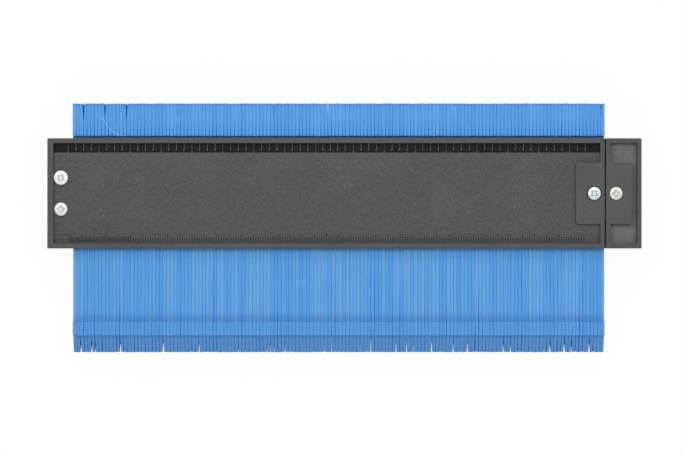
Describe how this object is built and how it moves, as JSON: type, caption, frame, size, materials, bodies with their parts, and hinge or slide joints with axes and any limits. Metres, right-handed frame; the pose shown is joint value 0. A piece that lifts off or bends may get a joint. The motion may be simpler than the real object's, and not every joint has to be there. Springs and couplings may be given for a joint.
{
  "type": "contour gauge",
  "caption": "Plastic contour gauge: thin sliding blue leaves in a dark grey two-shell housing with scales, an adjustable end cap and pan head screws.",
  "frame": {"origin": "on the surface it lies on, under the middle of its whole outline", "axes": "+X along the housing towards the end cap, +Y along the leaves towards their heads, +Z out of the scaled face"},
  "size_m": [0.2436, 0.1024, 0.02],
  "materials": {
    "grey_plastic": "fine moulded grain, satin",
    "blue_plastic": "smooth satin",
    "zinc_plate": "bright plated"
  },
  "bodies": {
    "housing": {"front_shell": "grey_plastic", "rear_shell": "grey_plastic", "left_screw_upper": "zinc_plate", "left_screw_lower": "zinc_plate"},
    "end_cap_unit": {"end_cap": "grey_plastic", "front_link_plate": "grey_plastic", "rear_link_plate": "grey_plastic", "front_clamp_screw": "zinc_plate", "rear_clamp_screw": "zinc_plate", "front_cap_screw": "zinc_plate", "rear_cap_screw": "zinc_plate"},
    "leaves_01": {"leaf_group_01": "blue_plastic"},
    "leaves_02": {"leaf_group_02": "blue_plastic"},
    "leaves_03": {"leaf_group_03": "blue_plastic"},
    "leaves_04": {"leaf_group_04": "blue_plastic"},
    "leaves_05": {"leaf_group_05": "blue_plastic"},
    "leaves_06": {"leaf_group_06": "blue_plastic"},
    "leaves_07": {"leaf_group_07": "blue_plastic"},
    "leaves_08": {"leaf_group_08": "blue_plastic"},
    "leaves_09": {"leaf_group_09": "blue_plastic"},
    "leaves_10": {"leaf_group_10": "blue_plastic"},
    "leaves_11": {"leaf_group_11": "blue_plastic"},
    "leaves_12": {"leaf_group_12": "blue_plastic"},
    "leaves_13": {"leaf_group_13": "blue_plastic"},
    "leaves_14": {"leaf_group_14": "blue_plastic"},
    "leaves_15": {"leaf_group_15": "blue_plastic"},
    "leaves_16": {"leaf_group_16": "blue_plastic"},
    "leaves_17": {"leaf_group_17": "blue_plastic"},
    "leaves_18": {"leaf_group_18": "blue_plastic"},
    "leaves_19": {"leaf_group_19": "blue_plastic"},
    "leaves_20": {"leaf_group_20": "blue_plastic"},
    "leaves_21": {"leaf_group_21": "blue_plastic"},
    "leaves_22": {"leaf_group_22": "blue_plastic"},
    "leaves_23": {"leaf_group_23": "blue_plastic"},
    "leaves_24": {"leaf_group_24": "blue_plastic"},
    "leaves_25": {"leaf_group_25": "blue_plastic"},
    "leaves_26": {"leaf_group_26": "blue_plastic"},
    "leaves_27": {"leaf_group_27": "blue_plastic"},
    "leaves_28": {"leaf_group_28": "blue_plastic"},
    "leaves_29": {"leaf_group_29": "blue_plastic"},
    "leaves_30": {"leaf_group_30": "blue_plastic"},
    "leaves_31": {"leaf_group_31": "blue_plastic"},
    "leaves_32": {"leaf_group_32": "blue_plastic"},
    "leaves_33": {"leaf_group_33": "blue_plastic"},
    "leaves_34": {"leaf_group_34": "blue_plastic"},
    "leaves_35": {"leaf_group_35": "blue_plastic"},
    "leaves_36": {"leaf_group_36": "blue_plastic"},
    "leaves_37": {"leaf_group_37": "blue_plastic"}
  },
  "joints": [
    {"name": "cap_slide", "type": "slide", "parent": "housing", "child": "end_cap_unit", "axis": [1, 0, 0], "range_m": [-0.00035, 0.00015]},
    {"name": "leaves_01_slide", "type": "slide", "parent": "housing", "child": "leaves_01", "axis": [0, 1, 0], "range_m": [0, 0.0298]},
    {"name": "leaves_19_slide", "type": "slide", "parent": "housing", "child": "leaves_19", "axis": [0, 1, 0], "range_m": [0, 0.0298]},
    {"name": "leaves_37_slide", "type": "slide", "parent": "housing", "child": "leaves_37", "axis": [0, 1, 0], "range_m": [0, 0.0298]},
    {"name": "leaves_02_slide", "type": "slide", "parent": "housing", "child": "leaves_02", "axis": [0, 1, 0], "range_m": [0, 0.0298]},
    {"name": "leaves_03_slide", "type": "slide", "parent": "housing", "child": "leaves_03", "axis": [0, 1, 0], "range_m": [0, 0.0298]},
    {"name": "leaves_04_slide", "type": "slide", "parent": "housing", "child": "leaves_04", "axis": [0, 1, 0], "range_m": [0, 0.0298]},
    {"name": "leaves_05_slide", "type": "slide", "parent": "housing", "child": "leaves_05", "axis": [0, 1, 0], "range_m": [0, 0.0298]},
    {"name": "leaves_06_slide", "type": "slide", "parent": "housing", "child": "leaves_06", "axis": [0, 1, 0], "range_m": [0, 0.0298]},
    {"name": "leaves_07_slide", "type": "slide", "parent": "housing", "child": "leaves_07", "axis": [0, 1, 0], "range_m": [0, 0.0298]},
    {"name": "leaves_08_slide", "type": "slide", "parent": "housing", "child": "leaves_08", "axis": [0, 1, 0], "range_m": [0, 0.0298]},
    {"name": "leaves_09_slide", "type": "slide", "parent": "housing", "child": "leaves_09", "axis": [0, 1, 0], "range_m": [0, 0.0298]},
    {"name": "leaves_10_slide", "type": "slide", "parent": "housing", "child": "leaves_10", "axis": [0, 1, 0], "range_m": [0, 0.0298]},
    {"name": "leaves_11_slide", "type": "slide", "parent": "housing", "child": "leaves_11", "axis": [0, 1, 0], "range_m": [0, 0.0298]},
    {"name": "leaves_12_slide", "type": "slide", "parent": "housing", "child": "leaves_12", "axis": [0, 1, 0], "range_m": [0, 0.0298]},
    {"name": "leaves_13_slide", "type": "slide", "parent": "housing", "child": "leaves_13", "axis": [0, 1, 0], "range_m": [0, 0.0298]},
    {"name": "leaves_14_slide", "type": "slide", "parent": "housing", "child": "leaves_14", "axis": [0, 1, 0], "range_m": [0, 0.0298]},
    {"name": "leaves_15_slide", "type": "slide", "parent": "housing", "child": "leaves_15", "axis": [0, 1, 0], "range_m": [0, 0.0298]},
    {"name": "leaves_16_slide", "type": "slide", "parent": "housing", "child": "leaves_16", "axis": [0, 1, 0], "range_m": [0, 0.0298]},
    {"name": "leaves_17_slide", "type": "slide", "parent": "housing", "child": "leaves_17", "axis": [0, 1, 0], "range_m": [0, 0.0298]},
    {"name": "leaves_18_slide", "type": "slide", "parent": "housing", "child": "leaves_18", "axis": [0, 1, 0], "range_m": [0, 0.0298]},
    {"name": "leaves_20_slide", "type": "slide", "parent": "housing", "child": "leaves_20", "axis": [0, 1, 0], "range_m": [0, 0.0298]},
    {"name": "leaves_21_slide", "type": "slide", "parent": "housing", "child": "leaves_21", "axis": [0, 1, 0], "range_m": [0, 0.0298]},
    {"name": "leaves_22_slide", "type": "slide", "parent": "housing", "child": "leaves_22", "axis": [0, 1, 0], "range_m": [0, 0.0298]},
    {"name": "leaves_23_slide", "type": "slide", "parent": "housing", "child": "leaves_23", "axis": [0, 1, 0], "range_m": [0, 0.0298]},
    {"name": "leaves_24_slide", "type": "slide", "parent": "housing", "child": "leaves_24", "axis": [0, 1, 0], "range_m": [0, 0.0298]},
    {"name": "leaves_25_slide", "type": "slide", "parent": "housing", "child": "leaves_25", "axis": [0, 1, 0], "range_m": [0, 0.0298]},
    {"name": "leaves_26_slide", "type": "slide", "parent": "housing", "child": "leaves_26", "axis": [0, 1, 0], "range_m": [0, 0.0298]},
    {"name": "leaves_27_slide", "type": "slide", "parent": "housing", "child": "leaves_27", "axis": [0, 1, 0], "range_m": [0, 0.0298]},
    {"name": "leaves_28_slide", "type": "slide", "parent": "housing", "child": "leaves_28", "axis": [0, 1, 0], "range_m": [0, 0.0298]},
    {"name": "leaves_29_slide", "type": "slide", "parent": "housing", "child": "leaves_29", "axis": [0, 1, 0], "range_m": [0, 0.0298]},
    {"name": "leaves_30_slide", "type": "slide", "parent": "housing", "child": "leaves_30", "axis": [0, 1, 0], "range_m": [0, 0.0298]},
    {"name": "leaves_31_slide", "type": "slide", "parent": "housing", "child": "leaves_31", "axis": [0, 1, 0], "range_m": [0, 0.0298]},
    {"name": "leaves_32_slide", "type": "slide", "parent": "housing", "child": "leaves_32", "axis": [0, 1, 0], "range_m": [0, 0.0298]},
    {"name": "leaves_33_slide", "type": "slide", "parent": "housing", "child": "leaves_33", "axis": [0, 1, 0], "range_m": [0, 0.0298]},
    {"name": "leaves_34_slide", "type": "slide", "parent": "housing", "child": "leaves_34", "axis": [0, 1, 0], "range_m": [0, 0.0298]},
    {"name": "leaves_35_slide", "type": "slide", "parent": "housing", "child": "leaves_35", "axis": [0, 1, 0], "range_m": [0, 0.0298]},
    {"name": "leaves_36_slide", "type": "slide", "parent": "housing", "child": "leaves_36", "axis": [0, 1, 0], "range_m": [0, 0.0298]}
  ]
}
